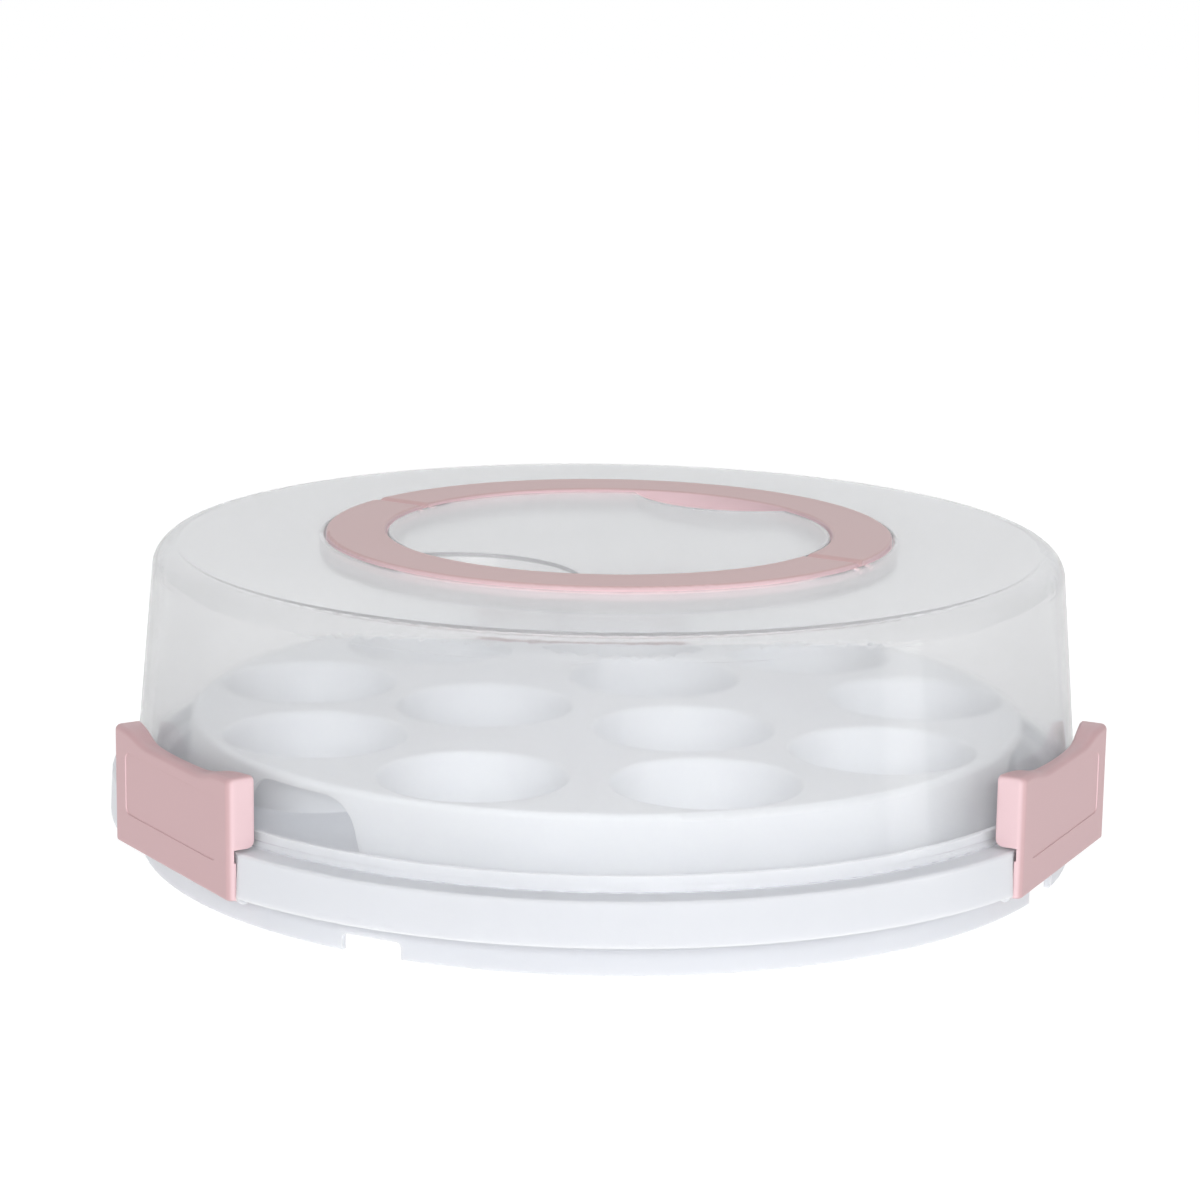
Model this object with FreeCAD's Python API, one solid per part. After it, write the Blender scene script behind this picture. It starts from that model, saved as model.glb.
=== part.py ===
import FreeCAD, Part
import math
import os

# Round carrier for cakes and cupcakes: a white tray on a foot ring, a translucent lid with a folding
# ring handle, three latches hinged on the tray and a lift-out insert with wells for twelve cupcakes.
# Millimetres, +Z up, origin on the floor at the centre of the foot ring, first latch on +Y.
# The wells set the insert's radius, the insert sets the tray's recess, and the lid, its flange, the
# latches and the tray's rim follow outward from there.

# Clearances
seat_gap = 0.3
lift_clearance = 0.4
side_clearance = 0.4
running_clearance = 0.05
cut_margin = 5.0

# Whole carrier
overall_height = 112.0

# Cupcake insert
well_radius = 31.8
well_taper = 5.4
well_depth = 19.0
well_gap = 13.7
well_lip_round = 1.6
well_floor_round = 4.0
outer_well_count = 9
inner_well_count = 3
insert_wall = 1.8
insert_margin = 4.2
insert_flare = 2.0
insert_edge_round = 2.5
insert_space_under = 8.9
insert_turn_angle = 3.5
arch_count = 3
arch_width = 46.0
arch_spread = 8.5
arch_drop = 3.4
arch_round = 14.0

# Tray
plate_height = 18.0
plate_thickness = 2.4
recess_depth = 9.8
recess_margin = 8.0
recess_corner_round = 3.0
ledge_thickness = 2.4
ledge_inner_width = 5.4
upstand_height = 5.0
upstand_wall = 2.0
apron_drop = 15.0
apron_lean = 0.7
apron_wall = 2.2
apron_edge_round = 1.2
rim_margin = 0.8
foot_inset = 2.1
foot_wall = 2.6
foot_edge_round = 1.0
foot_gap_count = 4
foot_gap_first_angle = 60.0
foot_gap_width = 22.0
foot_gap_height = 6.0
foot_gap_round = 2.0
floor_rib_count = 12
floor_rib_thickness = 1.6
floor_rib_height = 4.0
hub_radius = 40.0

# Lid
lid_wall = 1.8
flange_width = 1.0
flange_thickness = 2.6
lid_taper = 7.0
lid_shoulder_drop = 2.4
lid_shoulder_round = 9.0
lid_edge_round = 0.8
lid_turn_angle = 145.0

# Folding handle in the lid
handle_outer_radius = 101.0
handle_width = 21.3
handle_thickness = 6.4
handle_proud = 1.3
handle_edge_round = 1.2
handle_wall = 2.4
handle_end_length = 11.0
handle_pivot_depth = 3.6
handle_pin_radius = 1.4
handle_pin_recess = 0.1
halves_gap = 0.3
groove_clearance = 0.5
groove_below_handle = 2.2
plateau_drop = 1.0

# Finger scoops beside the handle
scoop_radius = 43.0
scoop_reach = 22.2
scoop_draft = 2.5

# Latches
latch_count = 3
latch_first_angle = 90.0
latch_width = 86.0
latch_rise = 25.2
latch_overhang = 1.2
latch_setback = 2.6
latch_plate = 2.8
latch_corner_round = 2.5
latch_top_round = 2.0
latch_bottom_round = 1.0
latch_dip = 3.0
latch_dip_margin = 5.0
latch_dip_step = 22.0
latch_top_wall = 2.6
latch_cheek = 2.6
cheek_gap = 1.1
cheek_step = 0.8
cheek_corner_round = 3.0
nose_height = 3.2
nose_inset = 3.0
nose_round = 1.4
panel_side_margin = 9.0
panel_top_margin = 8.0
panel_height = 22.0
panel_depth = 0.3
panel_slope = 0.25
panel_corner_round = 3.0
relief_height = 4.4
relief_depth = 0.7

# Latch hinges: two snap clips on each latch grip short bars under the tray's rim
bar_radius = 1.7
bar_inset = 3.3
bar_rise = -0.2
bar_lug = 3.0
bar_lug_round = 2.6
clip_wall = 1.0
clip_width = 6.0
clip_inset = 7.0
clip_mouth = 2.4
clip_arm = 4.0

# Radii, from the wells outward
outer_well_ring = (well_radius + well_gap / 2) / math.sin(math.pi / outer_well_count)
inner_well_ring = (well_radius + well_gap / 2) / math.sin(math.pi / inner_well_count)
insert_radius = outer_well_ring + well_radius + insert_margin
insert_foot_radius = insert_radius + insert_flare
recess_radius = insert_foot_radius + recess_margin
upstand_inner = recess_radius + ledge_inner_width
upstand_outer = upstand_inner + upstand_wall
lid_mouth_radius = upstand_outer + side_clearance + lid_wall
lid_shoulder_radius = lid_mouth_radius - lid_taper
flange_radius = lid_mouth_radius + flange_width
foot_radius = flange_radius - foot_inset
foot_inner = foot_radius - foot_wall
nose_radius = flange_radius + lift_clearance
latch_back = flange_radius + latch_setback
latch_face = latch_back + latch_plate
cheek_radius = nose_radius + cheek_step
rim_flat = latch_back - side_clearance
rim_half_width = latch_width / 2 + side_clearance
tray_radius = math.hypot(rim_flat, rim_half_width) + rim_margin
bar_place = latch_back - bar_inset
clip_radius = bar_radius + running_clearance + clip_wall
clip_offset = latch_width / 2 - clip_inset
groove_outer = handle_outer_radius + groove_clearance
handle_inner_radius = handle_outer_radius - handle_width
groove_inner = handle_inner_radius - groove_clearance
handle_pin_reach = groove_clearance + lid_wall - handle_pin_recess
scoop_centre = groove_inner - scoop_reach + scoop_radius

# Heights, from the floor up
plate_under = plate_height - plate_thickness
ledge_height = plate_height + recess_depth
ledge_under = ledge_height - ledge_thickness
ledge_middle = ledge_height - ledge_thickness / 2
apron_bottom = ledge_height - apron_drop
bar_height = apron_bottom + bar_rise
insert_seat = plate_height + seat_gap
well_bottom = insert_seat + insert_space_under + insert_wall
insert_top = well_bottom + well_depth
lid_seat = ledge_height + seat_gap
flange_top = lid_seat + flange_thickness
latch_bottom = apron_bottom - latch_overhang
latch_top = ledge_height + latch_rise
latch_dip_height = latch_top - latch_dip
cheek_bottom = ledge_height + cheek_gap
lid_top = overall_height - handle_proud
shoulder_height = lid_top - lid_shoulder_drop
plateau_height = overall_height - plateau_drop
handle_bottom = overall_height - handle_thickness
handle_pivot_height = overall_height - handle_pivot_depth
handle_pivot_offset = handle_pivot_depth + halves_gap / 2
groove_floor = handle_bottom - groove_below_handle

origin = FreeCAD.Vector(0, 0, 0)
along_x = FreeCAD.Vector(1, 0, 0)
along_y = FreeCAD.Vector(0, 1, 0)
along_z = FreeCAD.Vector(0, 0, 1)
full_turn = 360.0
half_turn = 180.0
quarter_turn = 90.0
tolerance = 0.01


def point(x, y, z):
    return FreeCAD.Vector(x, y, z)


def turned(outline):
    """Full turn about Z of a closed outline of (radius, height) corners."""
    corners = [point(radius, 0, height) for radius, height in outline]
    face = Part.Face(Part.makePolygon(corners + corners[:1]))
    return face.revolve(origin, along_z, full_turn)


def block(low, high):
    """Box between two opposite corners."""
    return Part.makeBox(high[0] - low[0], high[1] - low[1], high[2] - low[2], point(*low))


def post(radius, low, high):
    """Cylinder about Z between two heights."""
    return Part.makeCylinder(radius, high - low, point(0, 0, low))


def rod(radius, x, z, low, high):
    """Cylinder along Y between two places on Y."""
    return Part.makeCylinder(radius, high - low, point(x, low, z), along_y)


def spun(shape, angle):
    """Copy turned about Z by an angle in degrees."""
    copy = shape.copy()
    copy.rotate(origin, along_z, angle)
    return copy


def pattern(shape, count, first=0.0):
    """Copies of a shape at equal steps of a full turn."""
    return [spun(shape, first + full_turn * step / count) for step in range(count)]


def mirrored_span(side, low, high):
    """The stretch from low to high on Y, on either side of the middle."""
    return (low, high) if side > 0 else (-high, -low)


def circles(shape, radius, height):
    """Edges of a shape that are circles about a vertical axis, of one radius at one height."""
    found = []
    for edge in shape.Edges:
        if isinstance(edge.Curve, Part.Circle):
            same_radius = abs(edge.Curve.Radius - radius) < tolerance
            same_height = abs(edge.Curve.Center.z - height) < tolerance
            if same_radius and same_height:
                found.append(edge)
    return found


def straight_edges(shape, direction, x=None, z=None):
    """Straight edges along a direction whose middle lies at the given x or z."""
    found = []
    for edge in shape.Edges:
        if not isinstance(edge.Curve, Part.Line):
            continue
        if edge.Curve.Direction.cross(direction).Length > tolerance:
            continue
        middle = edge.CenterOfMass
        wanted = ((middle.x, x), (middle.z, z))
        if all(place is None or abs(value - place) < tolerance for value, place in wanted):
            found.append(edge)
    return found


def tray():
    """Tray moulded as one shell: foot ring, ledge, apron, sunk floor and the latches' hinge bars."""
    rim_radius = tray_radius - apron_lean
    recess_outer = recess_radius + plate_thickness
    upstand_top = ledge_height + upstand_height
    solid = turned([
        (0, plate_under), (recess_outer, plate_under), (recess_outer, ledge_under),
        (foot_inner, ledge_under), (foot_inner, 0), (foot_radius, 0), (foot_radius, ledge_under),
        (rim_radius - apron_wall, ledge_under), (tray_radius - apron_wall, apron_bottom),
        (tray_radius, apron_bottom), (rim_radius, ledge_height), (upstand_outer, ledge_height),
        (upstand_outer, upstand_top), (upstand_inner, upstand_top), (upstand_inner, ledge_height),
        (recess_radius, ledge_height), (recess_radius, plate_height), (0, plate_height)])
    solid = solid.makeFillet(apron_edge_round, circles(solid, rim_radius, ledge_height))
    solid = solid.makeFillet(recess_corner_round, circles(solid, recess_radius, plate_height))
    solid = solid.makeFillet(foot_edge_round, circles(solid, foot_radius, 0))
    solid = solid.cut(pattern(foot_gap(), foot_gap_count, foot_gap_first_angle))
    solid = solid.fuse(floor_ribs())
    for step in range(latch_count):
        turn = latch_first_angle + full_turn * step / latch_count
        solid = solid.cut(spun(rim_cut(), turn))
        solid = solid.fuse(spun(rim_wall(), turn))
        solid = solid.cut(spun(clip_slots(), turn))
        solid = solid.fuse(spun(hinge_bars(), turn))
    return solid.removeSplitter()


def foot_gap():
    """Low round-cornered gap through the foot ring."""
    half = foot_gap_width / 2
    gap = block((foot_inner - cut_margin, -half, -cut_margin),
                (foot_radius + cut_margin, half, foot_gap_height))
    return gap.makeFillet(foot_gap_round, straight_edges(gap, along_x, z=foot_gap_height))


def floor_ribs():
    """Ribs under the tray's floor, from a ring at its middle out to the foot ring."""
    low = plate_under - floor_rib_height
    high = plate_height - plate_thickness / 2
    half = floor_rib_thickness / 2
    rib = block((hub_radius, -half, low), (foot_radius - foot_wall / 2, half, high))
    hub = post(hub_radius + half, low, high).cut(post(hub_radius - half, low, high))
    return pattern(rib, floor_rib_count) + [hub]


def rim_cut():
    """Flat taken off the rim behind one latch."""
    return block((rim_flat, -rim_half_width, apron_bottom - cut_margin),
                 (tray_radius + cut_margin, rim_half_width, ledge_height + cut_margin))


def rim_wall():
    """Flat wall that closes the rim behind one latch."""
    half = rim_half_width + apron_wall
    wall = block((rim_flat - apron_wall, -half, apron_bottom), (rim_flat, half, ledge_middle))
    return wall.common(post(tray_radius - apron_wall / 2, 0, overall_height))


def clip_slots():
    """Openings in the flat wall for the arms of one latch's two clips."""
    half = clip_width / 2 + side_clearance
    top = bar_height + clip_radius + side_clearance
    slots = [block((bar_place, middle - half, apron_bottom - cut_margin),
                   (tray_radius + cut_margin, middle + half, top))
             for middle in (-clip_offset, clip_offset)]
    return slots[0].fuse(slots[1])


def hinge_bars():
    """Two short bars for one latch, each between a pair of lugs under the rim."""
    inner = clip_offset - clip_width / 2 - side_clearance
    outer = clip_offset + clip_width / 2 + side_clearance
    inside_foot = post(foot_radius - foot_wall / 2, 0, overall_height)
    pieces = []
    for side in (-1, 1):
        for start in (inner - bar_lug, outer):
            low, high = mirrored_span(side, start, start + bar_lug)
            foot_side = math.sqrt(foot_inner ** 2 - (start + bar_lug) ** 2)
            web = block((foot_side, low, bar_height), (rim_flat - apron_wall / 2, high, ledge_middle))
            lug = web.cut(inside_foot).fuse(rod(bar_lug_round, bar_place, bar_height, low, high))
            pieces.append(lug)
        low, high = mirrored_span(side, inner - bar_lug / 2, outer + bar_lug / 2)
        pieces.append(rod(bar_radius, bar_place, bar_height, low, high))
    return pieces[0].multiFuse(pieces[1:])


def lid():
    """Translucent cover: tapered wall with a flange, and a top with the handle's groove and two scoops."""
    outside = turned([
        (0, lid_seat), (flange_radius, lid_seat), (flange_radius, flange_top),
        (lid_mouth_radius, flange_top), (lid_shoulder_radius, shoulder_height), (groove_outer, lid_top),
        (groove_outer, groove_floor), (groove_inner, groove_floor), (groove_inner, plateau_height),
        (0, plateau_height)])
    outside = outside.makeFillet(lid_shoulder_round, circles(outside, lid_shoulder_radius, shoulder_height))
    soft_edges = circles(outside, groove_outer, lid_top) + circles(outside, groove_inner, plateau_height)
    soft_edges += circles(outside, flange_radius, flange_top) + circles(outside, flange_radius, lid_seat)
    outside = outside.makeFillet(lid_edge_round, soft_edges)

    inner_mouth = lid_mouth_radius - lid_wall
    inner_shoulder = lid_shoulder_radius - lid_wall
    inner_shoulder_height = shoulder_height - lid_wall
    groove_under = groove_floor - lid_wall
    inside = turned([
        (0, lid_seat - cut_margin), (inner_mouth, lid_seat - cut_margin), (inner_mouth, flange_top),
        (inner_shoulder, inner_shoulder_height), (groove_outer + lid_wall, lid_top - lid_wall),
        (groove_outer + lid_wall, groove_under), (groove_inner - lid_wall, groove_under),
        (groove_inner - lid_wall, plateau_height - lid_wall), (0, plateau_height - lid_wall)])
    inside = inside.makeFillet(lid_shoulder_round - lid_wall,
                               circles(inside, inner_shoulder, inner_shoulder_height))
    solid = outside.cut(inside)
    hole_radius = handle_pin_radius + running_clearance
    holes = pivot_rods(hole_radius, groove_inner - lid_wall, groove_outer + lid_wall)
    for turn in (lid_turn_angle, lid_turn_angle + half_turn):
        solid = solid.fuse(spun(scoop_shell(), turn + quarter_turn))
        solid = solid.cut(spun(scoop_hollow(), turn + quarter_turn))
        solid = solid.cut([spun(hole, turn) for hole in holes])
    return solid.removeSplitter()


def scoop_body(grow, floor, top):
    """Drafted round pocket that meets the handle's groove, with its wall moved out by grow."""
    slope = scoop_draft / (plateau_height - groove_floor)
    low_radius = scoop_radius + grow - slope * (plateau_height - floor)
    high_radius = scoop_radius + grow + slope * (top - plateau_height)
    return Part.makeCone(low_radius, high_radius, top - floor, point(scoop_centre, 0, floor))


def scoop_shell():
    """Floor and wall under one finger scoop, as far as the groove's inner wall."""
    shell = scoop_body(lid_wall, groove_floor - lid_wall, plateau_height - lid_wall / 2)
    return shell.common(post(groove_inner - lid_wall / 2, 0, overall_height))


def scoop_hollow():
    """Space of one finger scoop, open to the groove."""
    hollow = scoop_body(0, groove_floor, plateau_height + cut_margin)
    return hollow.common(post(groove_inner + groove_clearance, 0, overall_height + cut_margin))


def pivot_rods(radius, inner, outer):
    """Rods on both ends of the handle half that lies on +Y, between two places along X."""
    rods = []
    for low in (-outer, inner):
        end = point(low, handle_pivot_offset, handle_pivot_height)
        rods.append(Part.makeCylinder(radius, outer - inner, end, along_x))
    return rods


def handle_half():
    """Half of the ring handle on +Y, split line on X: rounded ends, pivot pins and a hollow underside."""
    ring = turned([
        (handle_inner_radius, handle_bottom), (handle_outer_radius, handle_bottom),
        (handle_outer_radius, overall_height), (handle_inner_radius, overall_height)])
    edges = []
    for radius in (handle_inner_radius, handle_outer_radius):
        edges += circles(ring, radius, overall_height) + circles(ring, radius, handle_bottom)
    ring = ring.makeFillet(handle_edge_round, edges)

    far = handle_outer_radius + cut_margin
    low = handle_bottom - cut_margin
    half_space = block((-far, handle_pivot_offset, low), (far, far, overall_height + cut_margin))
    end_start = point(-far, handle_pivot_offset, handle_pivot_height)
    end_round = Part.makeCylinder(handle_pivot_depth, 2 * far, end_start, along_x)
    half = ring.common(half_space.fuse(end_round))

    hollow_inner = handle_inner_radius + handle_wall
    hollow_outer = handle_outer_radius - handle_wall
    hollow_top = overall_height - handle_wall
    hollow = turned([(hollow_inner, low), (hollow_outer, low), (hollow_outer, hollow_top),
                     (hollow_inner, hollow_top)])
    clear_of_ends = block((-far, handle_pivot_offset + handle_end_length, low), (far, far, overall_height))
    half = half.cut(hollow.common(clear_of_ends))

    pin_inner = handle_inner_radius - handle_pin_reach
    pin_outer = handle_outer_radius + handle_pin_reach
    return half.fuse(pivot_rods(handle_pin_radius, pin_inner, pin_outer)).removeSplitter()


def soft_step(start, end):
    """Two equal arcs from one place to another further along Y, level at both ends."""
    middle = (start + end) * 0.5
    rise = end.z - start.z
    half_lean = math.atan2(rise, end.y - start.y) / 2
    bow = (middle - start).cross(along_x) * (math.tan(half_lean) / 2)
    first = Part.Arc(start, (start + middle) * 0.5 + bow, middle)
    second = Part.Arc(middle, (middle + end) * 0.5 - bow, end)
    return [first.toShape(), second.toShape()]


def latch_blank(inner):
    """Upright slab from a place on X to the latch's face, its top edge dipping in the middle."""
    half = latch_width / 2
    dip_end = half - latch_dip_margin
    dip_floor = dip_end - latch_dip_step
    left_end = point(inner, -dip_end, latch_top)
    left_floor = point(inner, -dip_floor, latch_dip_height)
    right_floor = point(inner, dip_floor, latch_dip_height)
    right_end = point(inner, dip_end, latch_top)
    rest = Part.makePolygon([
        right_end, point(inner, half, latch_top), point(inner, half, latch_bottom),
        point(inner, -half, latch_bottom), point(inner, -half, latch_top), left_end])
    edges = soft_step(left_end, left_floor) + [Part.makeLine(left_floor, right_floor)]
    edges += soft_step(right_floor, right_end) + rest.Edges
    return Part.Face(Part.Wire(edges)).extrude(along_x * (latch_face - inner))


def latch():
    """One latch on +X: flat plate, cheeks and a crescent top, hollow behind, with two hinge clips."""
    half = latch_width / 2
    inner = math.sqrt(nose_radius ** 2 - half ** 2) - cut_margin
    below = latch_bottom - cut_margin
    solid = latch_blank(inner)
    solid = solid.cut(block((inner - cut_margin, -half - cut_margin, below),
                            (latch_back, half + cut_margin, cheek_bottom)))
    solid = solid.makeFillet(latch_corner_round, straight_edges(solid, along_z, x=latch_face))
    solid = solid.makeFillet(latch_top_round, face_edges(solid, latch_dip_height, latch_top))
    solid = solid.makeFillet(latch_bottom_round, face_edges(solid, latch_bottom, latch_bottom))
    solid = solid.cut(post(nose_radius, 0, overall_height))
    solid = solid.makeFillet(nose_round, nose_edges(solid))
    solid = solid.cut(latch_throat(inner))
    solid = solid.cut(block((inner, latch_cheek - half, below),
                            (latch_back, half - latch_cheek, latch_dip_height - latch_top_wall)))
    solid = solid.makeFillet(cheek_corner_round, circles(solid, cheek_radius, cheek_bottom))
    solid = solid.cut([latch_relief(), latch_panel()])
    return solid.fuse([hinge_clip(-clip_offset), hinge_clip(clip_offset)]).removeSplitter()


def face_edges(solid, low, high):
    """Edges along the latch's outer face, round its corners too, between two heights."""
    found = []
    for edge in solid.Edges:
        middle = edge.CenterOfMass
        at_height = low - tolerance < middle.z < high + tolerance
        if at_height and middle.x > latch_face - latch_corner_round:
            found.append(edge)
    return found


def nose_edges(solid):
    """Edges along the top of the latch's crescent, on the side of the lid."""
    found = []
    for edge in solid.Edges:
        ends = [vertex.Point for vertex in edge.Vertexes]
        on_nose = all(abs(math.hypot(end.x, end.y) - nose_radius) < tolerance for end in ends)
        if on_nose and all(end.z > latch_dip_height - tolerance for end in ends):
            found.append(edge)
    return found


def latch_throat(inner):
    """Room inside the latch round the lid, under the nose that runs along the latch's top."""
    half = latch_width / 2 - nose_inset
    nose = block((inner, -half, latch_dip_height - nose_height), (latch_face, half, overall_height))
    return post(cheek_radius, 0, overall_height).cut(nose)


def latch_relief():
    """Groove across the back of the latch just under its cheeks, where the plate can bend."""
    half = latch_width / 2 + cut_margin
    return block((latch_back - cut_margin, -half, cheek_bottom - relief_height),
                 (latch_back + relief_depth, half, cheek_bottom))


def latch_panel():
    """Shallow round-cornered thumb panel with sloping sides in the latch's face."""
    half = latch_width / 2 - panel_side_margin
    top = latch_top - panel_top_margin
    floor = latch_face - panel_depth
    panel = block((floor, -half, top - panel_height), (latch_face + cut_margin, half, top))
    panel = panel.makeFillet(panel_corner_round, straight_edges(panel, along_x))
    floor_edges = [edge for edge in panel.Edges if edge.BoundBox.XMax < floor + tolerance]
    return panel.makeChamfer(panel_slope, floor_edges)


def hinge_clip(middle):
    """Arm with an open clip that snaps over a hinge bar."""
    low = middle - clip_width / 2
    high = middle + clip_width / 2
    arm = block((bar_place, low, latch_bottom),
                (latch_back + latch_plate / 2, high, bar_height + clip_arm / 2))
    clip = arm.fuse(rod(clip_radius, bar_place, bar_height, low, high))
    clip = clip.cut(rod(bar_radius + running_clearance, bar_place, bar_height, low, high))
    mouth = block((bar_place - 2 * clip_radius, low, bar_height - clip_mouth / 2),
                  (bar_place, high, bar_height + clip_mouth / 2))
    return clip.cut(mouth)


def well(grow, floor, top):
    """Tapered well about Z, with its wall moved out by grow."""
    slope = well_taper / well_depth
    low_radius = well_radius + grow - slope * (insert_top - floor)
    high_radius = well_radius + grow + slope * (top - insert_top)
    return Part.makeCone(low_radius, high_radius, top - floor, point(0, 0, floor))


def at_wells(shape):
    """Copies of a shape at the outer and inner wells, the inner ones facing gaps between outer ones."""
    outer = shape.translated(point(outer_well_ring, 0, 0))
    inner = shape.translated(point(inner_well_ring, 0, 0))
    return pattern(outer, outer_well_count) + pattern(inner, inner_well_count, half_turn)


def insert():
    """Lift-out cupcake tray: plate with twelve wells and a skirt with three finger arches."""
    under = insert_top - insert_wall
    solid = turned([
        (0, under), (insert_radius - insert_wall, under), (insert_foot_radius - insert_wall, insert_seat),
        (insert_foot_radius, insert_seat), (insert_radius, insert_top), (0, insert_top)])
    solid = solid.makeFillet(insert_edge_round, circles(solid, insert_radius, insert_top))
    shell = well(insert_wall, well_bottom - insert_wall, insert_top - insert_wall / 2)
    hollow = well(0, well_bottom, insert_top)
    hollow = hollow.makeFillet(well_floor_round, circles(hollow, well_radius - well_taper, well_bottom))
    solid = solid.fuse(at_wells(shell))
    solid = solid.cut(at_wells(hollow)).removeSplitter()
    solid = solid.makeFillet(well_lip_round, circles(solid, well_radius, insert_top))

    between_wells = half_turn / outer_well_count
    solid = solid.cut(pattern(arch(), arch_count, half_turn + half_turn / arch_count - between_wells))
    return spun(solid, insert_turn_angle)


def arch():
    """Round-cornered finger arch through the insert's skirt, wider at its foot."""
    top = insert_top - arch_drop
    low = insert_seat - cut_margin
    half = arch_width / 2
    low_half = half + arch_spread * (top - low) / (top - insert_seat)
    inner = insert_radius - insert_flare - 2 * insert_wall
    corners = [point(inner, -low_half, low), point(inner, low_half, low), point(inner, half, top),
               point(inner, -half, top)]
    face = Part.Face(Part.makePolygon(corners + corners[:1]))
    solid = face.extrude(along_x * (insert_foot_radius + cut_margin - inner))
    return solid.makeFillet(arch_round, straight_edges(solid, along_x, z=top))


nodes = {
    "base_tray": tray(),
    "cupcake_insert": insert(),
    "lid_cover": lid(),
    "handle_front": spun(handle_half(), lid_turn_angle),
    "handle_back": spun(handle_half(), lid_turn_angle + half_turn),
}
for number, latch_shape in enumerate(pattern(latch(), latch_count, latch_first_angle)):
    nodes["latch_%d" % (number + 1)] = latch_shape

os.makedirs("parts", exist_ok=True)
for name, shape in nodes.items():
    print(name, "solids", len(shape.Solids), "valid", shape.isValid(), "volume", round(shape.Volume))
    shape.exportStep("parts/%s.step" % name)
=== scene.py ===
import math

import bpy
from mathutils import Matrix, Vector

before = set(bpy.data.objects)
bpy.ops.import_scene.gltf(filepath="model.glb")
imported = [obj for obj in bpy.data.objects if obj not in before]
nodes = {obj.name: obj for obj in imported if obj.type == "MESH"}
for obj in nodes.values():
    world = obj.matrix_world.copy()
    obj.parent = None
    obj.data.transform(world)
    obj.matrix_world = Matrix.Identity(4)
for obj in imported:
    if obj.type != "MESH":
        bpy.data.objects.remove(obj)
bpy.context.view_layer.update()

# Lengths are in metres, angles in degrees and lamp powers in watts, in the carrier's own frame

# Camera of the photograph
photo_size = 1200
focal_pixels = 3355.0
sensor_width = 36.0
eye = Vector((-0.0739, -1.1765, 0.3406))
aim = Vector((-0.0029, 0.0002, 0.0857))
camera_roll = 0.851
camera_reach = 100.0

# Surroundings: strength at the sides, overhead and added behind, and the height or depth of a
# direction at which the light overhead and behind starts and is full
surroundings_colour = (0.98, 0.99, 1.0)
side_light = 0.1
overhead_light = 0.73
overhead_start, overhead_full = 0.45, 1.0
back_light = 0.98
back_start, back_full = 0.3, 0.95

# Lamps: name, shape, place, target, width and height, power, and the rays that don't see the lamp.
# The side strip's reflection makes the streak on the lid's wall, and the last lamp dimly lights the
# hollow under the insert.
carrier_middle = (0, 0, 0.06)
lamps = (
    ("front_fill", "RECTANGLE", (0, -2.57, 0.85), carrier_middle, (2.6, 0.8), 35.0, ("glossy",)),
    ("left_softbox", "RECTANGLE", (-1.14, -2.34, 1.3), carrier_middle, (1.6, 0.3), 10.0, ()),
    ("right_softbox", "RECTANGLE", (1.96, -1.71, 1.3), carrier_middle, (1.3, 0.3), 6.0, ()),
    ("side_strip", "RECTANGLE", (0.3, -0.21, 0.06), (0.09, -0.138, 0.06), (0.06, 0.16), 0.18,
     ("camera", "diffuse", "transmission")),
    ("under_insert", "ELLIPSE", (0, 0, 0.0235), (0, 0, 0.1), (0.27, 0.27), 0.095,
     ("camera", "transmission", "glossy")),
)

# Floor, which glows so that it stays white around the carrier
floor_half = 30.0
floor_colour = (0.25, 0.25, 0.25)
floor_roughness = 0.9
floor_glow = 0.87

# Moulded plastic: mottling of colour and gloss, fine grain, and how far light spreads inside
mottle_scale, mottle_detail = 14.0, 4.0
mottle_start, mottle_full = 0.3, 0.7
mottle_shade = 0.97
plastic_roughness = 0.42
roughness_spread = 0.05
grain_scale, grain_detail = 1400.0, 2.0
grain_height = 0.0002
scatter_radius = 0.003

# Painted light on the narrow sides of the pink pieces, the latch ends and the ring's walls, which
# are painted paler as if lit from the front: how squarely a surface faces along a latch, or up from
# the ring
lit_side_start, lit_side_full = 0.4, 0.9

# Frosted lid: a thin wall that bends light little, with a milky haze mixed in
lid_tint = (0.95, 0.952, 0.955)
lid_refraction = 1.2
lid_roughness_low, lid_roughness_high = 0.08, 0.12
frost_scale, frost_detail = 9.0, 3.0
haze_share = 0.25
haze_front = (0.65, 0.652, 0.665)
haze_through = (0.75, 0.75, 0.75)
through_share = 0.55
lamp_share = 0.97

# Colours and grain of the pieces
tray_colour, tray_grain = (0.74, 0.753, 0.785), 0.12
insert_colour, insert_grain = (0.755, 0.775, 0.807), 0.1
ring_colour = (0.66, 0.438, 0.433)
latch_colour = (0.635, 0.413, 0.428)
# Paler pink painted on the latch ends and the ring's walls: painted light, standing in for the
# frontal light that brightens them
painted_light_pink = (0.825, 0.595, 0.625)
pink_grain = 0.15

# Bounces of light: enough for what runs along inside the lid's wall
inner_bounces = 24
mirror_bounces = 16


def look(obj, target, roll=0.0):
    """Turns an object so that its -Z axis points at a target, then rolls it about that axis."""
    direction = target - obj.location
    turn = direction.to_track_quat("-Z", "Y").to_matrix().to_4x4()
    spin = Matrix.Rotation(math.radians(roll), 4, "Z")
    obj.matrix_world = Matrix.Translation(obj.location) @ turn @ spin


def add_camera():
    """Camera at the photograph's viewing angle."""
    data = bpy.data.cameras.new("photo_camera")
    data.sensor_width = sensor_width
    data.lens = focal_pixels / photo_size * sensor_width
    data.clip_end = camera_reach
    camera = bpy.data.objects.new("photo_camera", data)
    bpy.context.scene.collection.objects.link(camera)
    camera.location = eye
    look(camera, aim, camera_roll)
    bpy.context.scene.camera = camera


def add_lamp(name, shape, place, target, size, power, unseen_by):
    """Soft lamp that points at a target."""
    data = bpy.data.lights.new(name, "AREA")
    data.shape = shape
    data.size, data.size_y = size
    data.energy = power
    lamp = bpy.data.objects.new(name, data)
    bpy.context.scene.collection.objects.link(lamp)
    lamp.location = Vector(place)
    look(lamp, Vector(target))
    for rays in unseen_by:
        setattr(lamp, "visible_" + rays, False)


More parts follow.
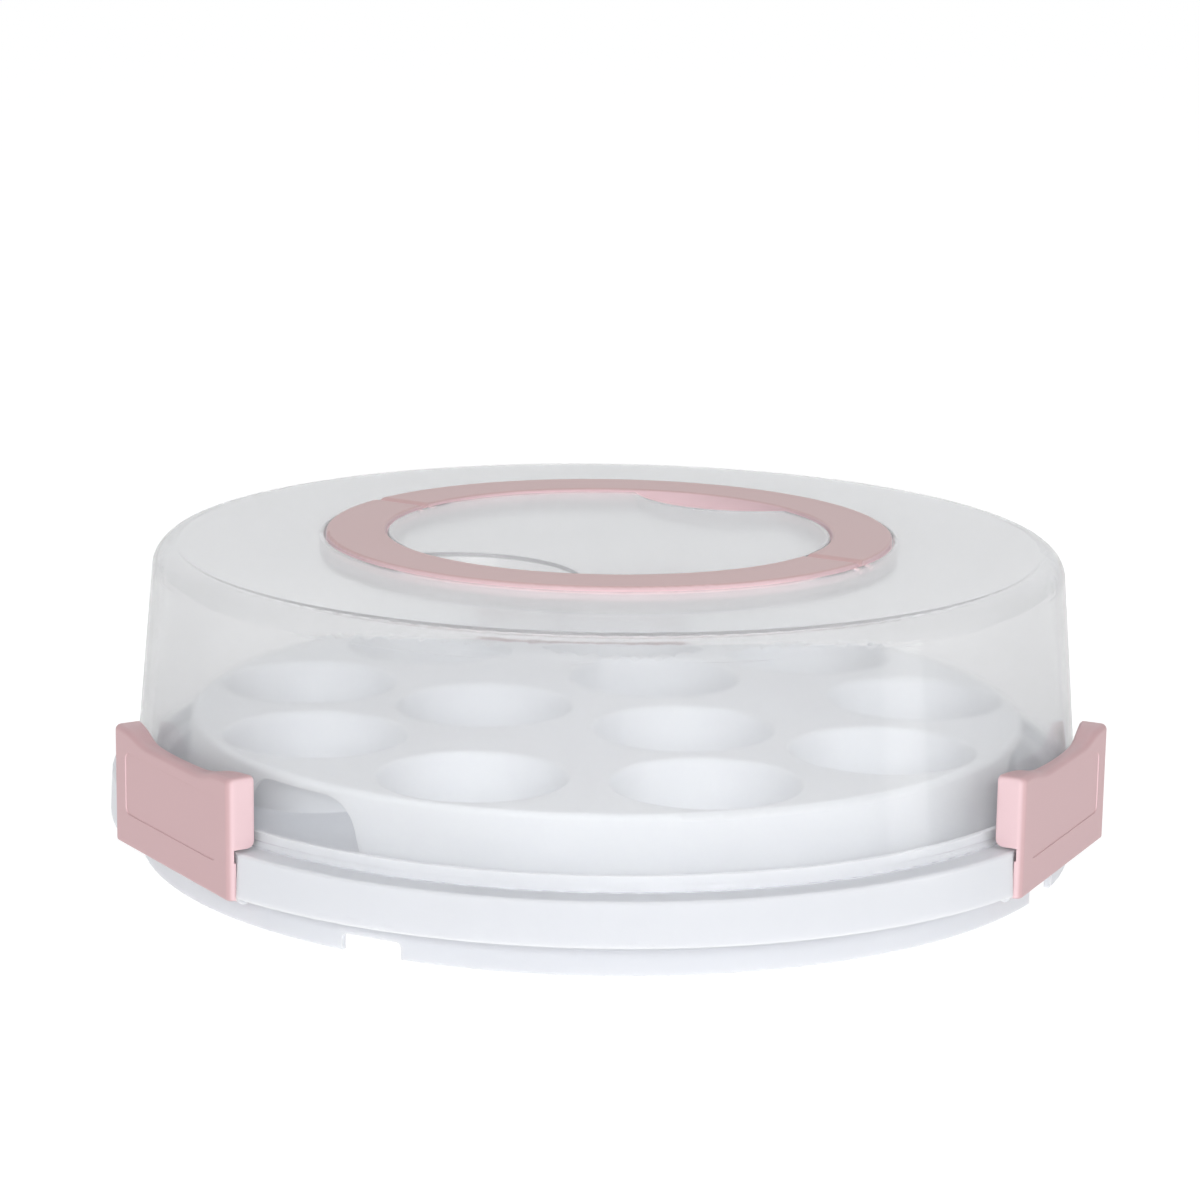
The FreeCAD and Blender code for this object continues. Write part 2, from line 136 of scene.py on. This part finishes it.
def add_node(tree, kind, inputs=None):
    """New node with the values of its sockets."""
    node = tree.nodes.new("ShaderNode" + kind)
    for socket, value in (inputs or {}).items():
        node.inputs[socket].default_value = value
    return node


def map_range(tree, value, start, full, low, high, interpolation="LINEAR"):
    """Output that goes from low to high while a value goes from start to full."""
    node = add_node(tree, "MapRange", {"From Min": start, "From Max": full,
                                       "To Min": low, "To Max": high})
    node.interpolation_type = interpolation
    tree.links.new(value, node.inputs["Value"])
    return node.outputs["Result"]


def noise(tree, coordinates, scale, detail):
    """Noise fixed to the object."""
    node = add_node(tree, "TexNoise", {"Scale": scale, "Detail": detail})
    tree.links.new(coordinates.outputs["Object"], node.inputs["Vector"])
    return node.outputs["Fac"]


def vector_math(tree, operation, vector, other=(0, 0, 0)):
    """Vector Math node for a vector and, where the operation takes one, a second vector."""
    node = add_node(tree, "VectorMath", {1: other})
    node.operation = operation
    tree.links.new(vector, node.inputs[0])
    return node


def mix_shaders(tree, share, first, second):
    """Mix of two shaders, with the share of the second."""
    node = add_node(tree, "MixShader", {"Fac": share})
    tree.links.new(first, node.inputs[1])
    tree.links.new(second, node.inputs[2])
    return node


def opaque(colour):
    """Colour with full alpha."""
    return (*colour, 1)


def new_material(name):
    """Material with its tree and its Principled shader."""
    material = bpy.data.materials.new(name)
    material.use_nodes = True
    return material, material.node_tree, material.node_tree.nodes["Principled BSDF"]


def add_world():
    """Studio surroundings: bright overhead and behind the carrier, dim at the sides and front."""
    world = bpy.data.worlds.new("studio")
    bpy.context.scene.world = world
    world.use_nodes = True
    tree = world.node_tree
    background = tree.nodes["Background"]
    background.inputs["Color"].default_value = opaque(surroundings_colour)
    coordinates = add_node(tree, "TexCoord")
    split = add_node(tree, "SeparateXYZ")
    tree.links.new(coordinates.outputs["Generated"], split.inputs[0])
    overhead = map_range(tree, split.outputs["Z"], overhead_start, overhead_full,
                         side_light, overhead_light, "SMOOTHSTEP")
    behind = map_range(tree, split.outputs["Y"], back_start, back_full,
                       0.0, back_light, "SMOOTHSTEP")
    total = add_node(tree, "Math")
    tree.links.new(overhead, total.inputs[0])
    tree.links.new(behind, total.inputs[1])
    tree.links.new(total.outputs[0], background.inputs["Strength"])


def add_floor():
    """Plain pale floor that reaches past the camera's view."""
    mesh = bpy.data.meshes.new("floor")
    corners = [(-floor_half, -floor_half, 0), (floor_half, -floor_half, 0),
               (floor_half, floor_half, 0), (-floor_half, floor_half, 0)]
    mesh.from_pydata(corners, [], [(0, 1, 2, 3)])
    floor = bpy.data.objects.new("floor", mesh)
    bpy.context.scene.collection.objects.link(floor)
    material, _, shader = new_material("floor_white")
    shader.inputs["Base Color"].default_value = opaque(floor_colour)
    shader.inputs["Roughness"].default_value = floor_roughness
    shader.inputs["Specular IOR Level"].default_value = 0.0
    shader.inputs["Emission Color"].default_value = (1, 1, 1, 1)
    shader.inputs["Emission Strength"].default_value = floor_glow
    mesh.materials.append(material)


def painted_light_on_sides(tree, coordinates, upright):
    """Factor of painted light that rises on the ends of an upright latch, or on the walls of the
    flat ring, where a paler colour stands in for the frontal light.
    """
    facing = vector_math(tree, "DOT_PRODUCT", coordinates.outputs["Normal"], (0, 0, 1))
    if upright:
        along = vector_math(tree, "CROSS_PRODUCT", coordinates.outputs["Object"], (0, 0, 1))
        unit = vector_math(tree, "NORMALIZE", along.outputs["Vector"])
        tree.links.new(unit.outputs["Vector"], facing.inputs[1])
    size = add_node(tree, "Math")
    size.operation = "ABSOLUTE"
    tree.links.new(facing.outputs["Value"], size.inputs[0])
    low, high = (0.0, 1.0) if upright else (1.0, 0.0)
    return map_range(tree, size.outputs["Value"], lit_side_start, lit_side_full, low, high, "SMOOTHSTEP")


def plastic(name, colour, grain, scatters=False, painted_light_colour=None, upright=False):
    """Moulded plastic: mottled colour and gloss, fine grain and, if given, narrow sides painted
    paler as painted light.
    """
    material, tree, shader = new_material(name)
    coordinates = add_node(tree, "TexCoord")
    clouds = noise(tree, coordinates, mottle_scale, mottle_detail)

    tint = add_node(tree, "ValToRGB")
    dark, light = tint.color_ramp.elements
    dark.position, light.position = mottle_start, mottle_full
    dark.color = opaque(channel * mottle_shade for channel in colour)
    light.color = opaque(colour)
    tree.links.new(clouds, tint.inputs["Fac"])
    surface_colour = tint.outputs["Color"]
    # Painted light: the narrow sides get a paler colour, as if lit from the front
    if painted_light_colour:
        painted_light_blend = add_node(tree, "MixRGB", {"Color2": opaque(painted_light_colour)})
        tree.links.new(painted_light_on_sides(tree, coordinates, upright), painted_light_blend.inputs["Fac"])
        tree.links.new(surface_colour, painted_light_blend.inputs["Color1"])
        surface_colour = painted_light_blend.outputs["Color"]
    tree.links.new(surface_colour, shader.inputs["Base Color"])

    gloss = map_range(tree, clouds, 0.0, 1.0,
                      plastic_roughness - roughness_spread, plastic_roughness + roughness_spread)
    tree.links.new(gloss, shader.inputs["Roughness"])

    bump = add_node(tree, "Bump", {"Strength": grain, "Distance": grain_height})
    tree.links.new(noise(tree, coordinates, grain_scale, grain_detail), bump.inputs["Height"])
    tree.links.new(bump.outputs["Normal"], shader.inputs["Normal"])

    if scatters:
        shader.inputs["Subsurface Weight"].default_value = 1.0
        shader.inputs["Subsurface Radius"].default_value = (scatter_radius,) * 3
        shader.inputs["Subsurface Scale"].default_value = 1.0
    return material


def frosted_plastic(name):
    """Clear plastic with a light milky haze; the lamps' light passes through to what is inside."""
    material, tree, shader = new_material(name)
    shader.inputs["Base Color"].default_value = opaque(lid_tint)
    shader.inputs["IOR"].default_value = lid_refraction
    shader.inputs["Transmission Weight"].default_value = 1.0
    coordinates = add_node(tree, "TexCoord")
    clouds = noise(tree, coordinates, frost_scale, frost_detail)
    gloss = map_range(tree, clouds, 0.0, 1.0, lid_roughness_low, lid_roughness_high)
    tree.links.new(gloss, shader.inputs["Roughness"])

    front = add_node(tree, "BsdfDiffuse", {"Color": opaque(haze_front)})
    through = add_node(tree, "BsdfTranslucent", {"Color": opaque(haze_through)})
    milk = mix_shaders(tree, through_share, front.outputs["BSDF"], through.outputs["BSDF"])
    haze = mix_shaders(tree, haze_share, shader.outputs["BSDF"], milk.outputs["Shader"])

    clear = add_node(tree, "BsdfTransparent", {"Color": opaque((lamp_share,) * 3)})
    lit = mix_shaders(tree, 0.0, haze.outputs["Shader"], clear.outputs["BSDF"])
    path = add_node(tree, "LightPath")
    tree.links.new(path.outputs["Is Shadow Ray"], lit.inputs["Fac"])
    tree.links.new(lit.outputs["Shader"], tree.nodes["Material Output"].inputs["Surface"])
    return material


def dress(material, *names):
    """Gives CAD nodes their material."""
    for name in names:
        slots = nodes[name].data.materials
        slots.clear()
        slots.append(material)


add_camera()
add_world()
add_floor()
for lamp in lamps:
    add_lamp(*lamp)

dress(plastic("tray_white", tray_colour, tray_grain, scatters=True), "base_tray")
dress(plastic("insert_white", insert_colour, insert_grain, scatters=True), "cupcake_insert")
# The pink pieces get painted light, a paler colour on their narrow sides
dress(plastic("pink_plastic", ring_colour, pink_grain, painted_light_colour=painted_light_pink),
      "handle_front", "handle_back")
dress(plastic("latch_pink_plastic", latch_colour, pink_grain, painted_light_colour=painted_light_pink, upright=True),
      "latch_1", "latch_2", "latch_3")
dress(frosted_plastic("lid_frosted"), "lid_cover")

cycles = bpy.context.scene.cycles
cycles.max_bounces = inner_bounces
cycles.transmission_bounces = inner_bounces
cycles.glossy_bounces = mirror_bounces
cycles.transparent_max_bounces = mirror_bounces
bpy.context.scene.view_settings.view_transform = "Standard"
